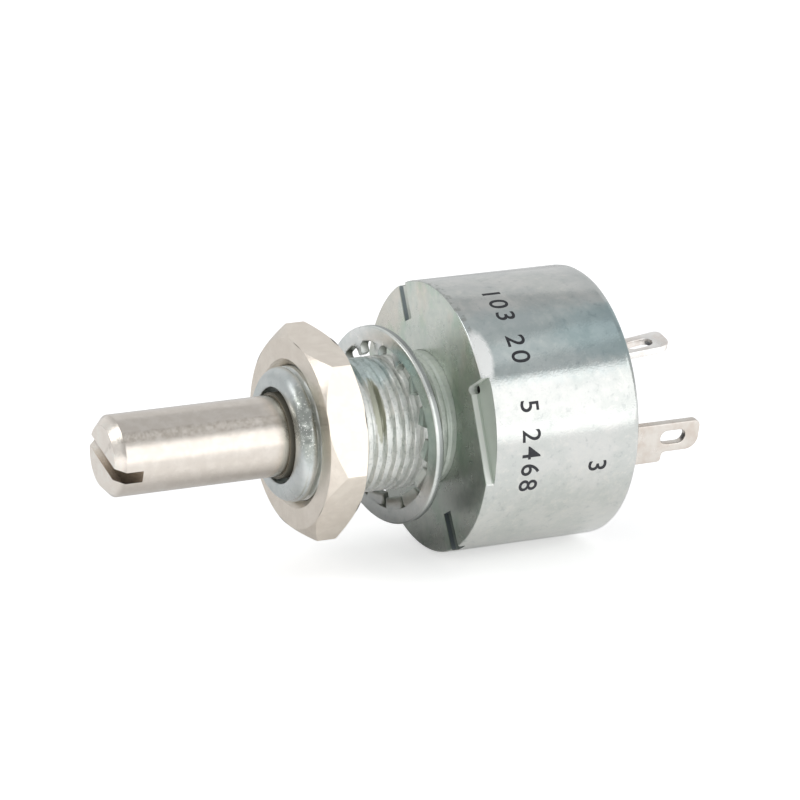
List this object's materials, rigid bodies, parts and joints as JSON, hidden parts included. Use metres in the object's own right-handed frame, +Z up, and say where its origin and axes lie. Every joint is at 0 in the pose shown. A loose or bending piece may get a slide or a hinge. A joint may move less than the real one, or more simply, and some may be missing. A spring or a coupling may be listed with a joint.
{
  "type": "panel potentiometer",
  "caption": "Sealed single-turn panel potentiometer with a round metal case, threaded bushing, nut, lock washer, slotted shaft and solder lugs.",
  "frame": {"origin": "centre of the case's front face, which seats against the panel, on the shaft's centre line", "axes": "+X along the shaft toward its slotted tip, +Z up as pictured, +Y toward the side the picture is taken from"},
  "size_m": [0.0448, 0.0204, 0.0204],
  "materials": {
    "zinc_plated_case": "bright zinc plate with faint grey-green and pink passivation",
    "zinc_plated_bushing": "bluish zinc plate on a fine thread",
    "nickel_nut": "nickel plate over brass",
    "zinc_washer": "zinc plate",
    "nickel_shaft": "turned and nickel plated",
    "tinned_lug": "hot-tinned brass",
    "steel_small_parts": "plain steel",
    "dark_moulding": "filled phenolic moulding",
    "ceramic": "fired alumina",
    "carbon_film": "fired resistive film",
    "silver_film": "fired silver film",
    "black_rubber": "smooth nitrile rubber",
    "resin": "poured epoxy resin",
    "spring_bronze": "phosphor bronze strip"
  },
  "bodies": {
    "housing": {"case": "zinc_plated_case", "bushing": "zinc_plated_bushing", "stop_pin": "steel_small_parts", "spacer_ring": "dark_moulding", "substrate": "ceramic", "resistance_track": "carbon_film", "collector_track": "silver_film", "end_leads": "silver_film", "terminal_1": "tinned_lug", "terminal_2": "tinned_lug", "terminal_3": "tinned_lug", "terminal_rivets": "tinned_lug", "base": "dark_moulding", "base_seal": "black_rubber", "sealing_resin": "resin"},
    "spindle": {"shaft": "nickel_shaft", "shaft_seal": "black_rubber", "thrust_washer": "steel_small_parts", "retaining_clip": "steel_small_parts", "rotor": "dark_moulding", "wiper": "spring_bronze"},
    "washer": {"lock_washer": "zinc_washer"},
    "nut": {"hex_nut": "nickel_nut"}
  },
  "joints": [
    {"name": "shaft_turn", "type": "hinge", "parent": "housing", "child": "spindle", "pos_m": [0, 0, 0], "axis": [1, 0, 0], "range_deg": [-150, 150]},
    {"name": "washer_slide", "type": "slide", "parent": "housing", "child": "washer", "axis": [1, 0, 0], "range_m": [-0.00189, 0.00114]},
    {"name": "nut_turn", "type": "hinge", "parent": "washer", "child": "nut", "pos_m": [0, 0, 0], "axis": [1, 0, 0], "range_deg": [-900, 540]}
  ],
  "couplings": [
    {"joint": "washer_slide", "follows": "nut_turn", "m_per_rad": 0.00011937}
  ]
}
